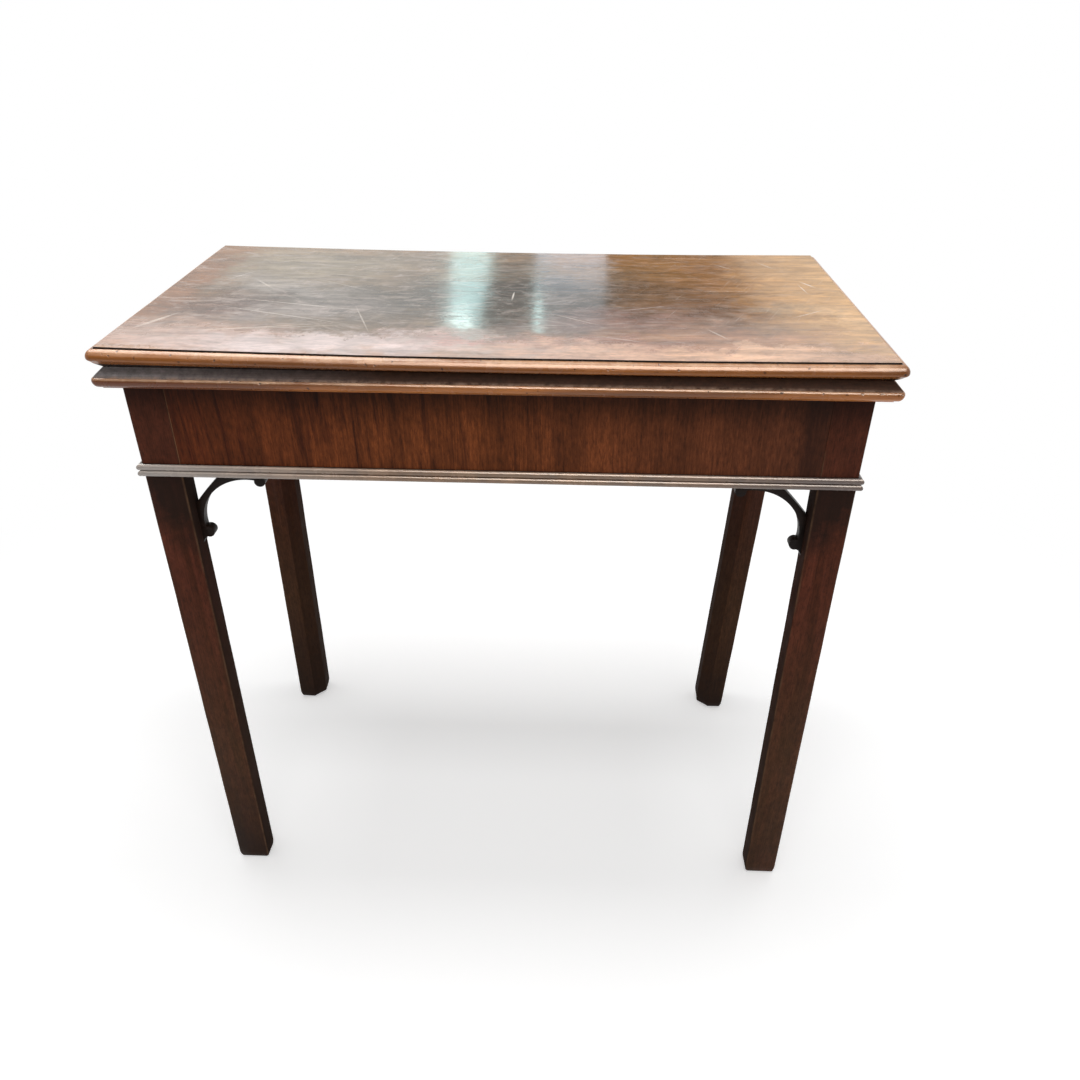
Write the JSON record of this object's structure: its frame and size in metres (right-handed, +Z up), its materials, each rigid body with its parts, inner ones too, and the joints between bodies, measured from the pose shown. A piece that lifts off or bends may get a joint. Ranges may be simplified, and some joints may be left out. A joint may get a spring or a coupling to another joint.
{
  "type": "folding card table",
  "caption": "Fold-over card table with a moulded two-leaf top, square chamfered legs, scroll brackets and a swinging fly leg that carries the open leaf.",
  "frame": {"origin": "on the floor, under the middle of the whole table", "axes": "+X along the long side, towards the fly leg; +Y to the back, where the top is hinged; +Z up"},
  "size_m": [0.76, 0.383, 0.728],
  "materials": {
    "mahogany_top": "old French-polished mahogany, worn and marked, glossy",
    "mahogany_frieze": "dark red-brown mahogany veneer with upright figure, satin",
    "mahogany_legs": "dark red-brown mahogany, dull satin",
    "mahogany_mouldings": "rubbed mahogany, satin",
    "oak_rails": "aged unpolished oak",
    "pine_blocks": "aged raw pine",
    "baize": "green wool baize",
    "brass": "dull old brass",
    "iron": "dark hand-made iron"
  },
  "bodies": {
    "frame": {"lower_leaf": "mahogany_top", "front_frieze_veneer": "mahogany_frieze", "left_side_veneer": "mahogany_frieze", "right_side_veneer": "mahogany_frieze", "front_left_leg": "mahogany_legs", "front_right_leg": "mahogany_legs", "back_left_leg": "mahogany_legs", "front_astragal": "mahogany_mouldings", "left_astragal": "mahogany_mouldings", "right_astragal": "mahogany_mouldings", "front_left_bracket": "mahogany_mouldings", "front_right_bracket": "mahogany_mouldings", "front_rail": "oak_rails", "left_side_rail": "oak_rails", "right_side_rail": "oak_rails", "inner_back_rail": "oak_rails", "fixed_back_rail": "oak_rails", "cross_brace": "oak_rails", "front_left_top_block": "pine_blocks", "front_right_top_block": "pine_blocks", "back_left_top_block": "pine_blocks", "back_right_top_block": "pine_blocks", "left_top_block": "pine_blocks", "right_top_block": "pine_blocks", "back_right_corner_block": "pine_blocks", "lower_baize": "baize", "left_lower_strap": "brass", "right_lower_strap": "brass", "left_hinge_pin": "brass", "right_hinge_pin": "brass", "lower_strap_screws": "brass", "knuckle_pin": "iron", "top_fixing_screws": "iron", "back_rail_screws": "iron"},
    "upper_leaf": {"upper_leaf": "mahogany_top", "upper_baize": "baize", "left_upper_strap": "brass", "right_upper_strap": "brass", "upper_strap_screws": "brass"},
    "fly_gate": {"fly_rail": "oak_rails", "fly_leg": "mahogany_legs", "fly_leg_astragal": "mahogany_mouldings"}
  },
  "joints": [
    {"name": "leaf_fold", "type": "hinge", "parent": "frame", "child": "upper_leaf", "pos_m": [0, 0.1885, 0.7075], "axis": [-1, 0, 0], "range_deg": [0, 180]},
    {"name": "gate_swing", "type": "hinge", "parent": "frame", "child": "fly_gate", "pos_m": [0.02, 0.1755, 0.637], "axis": [0, 0, 1], "range_deg": [0, 90]}
  ]
}
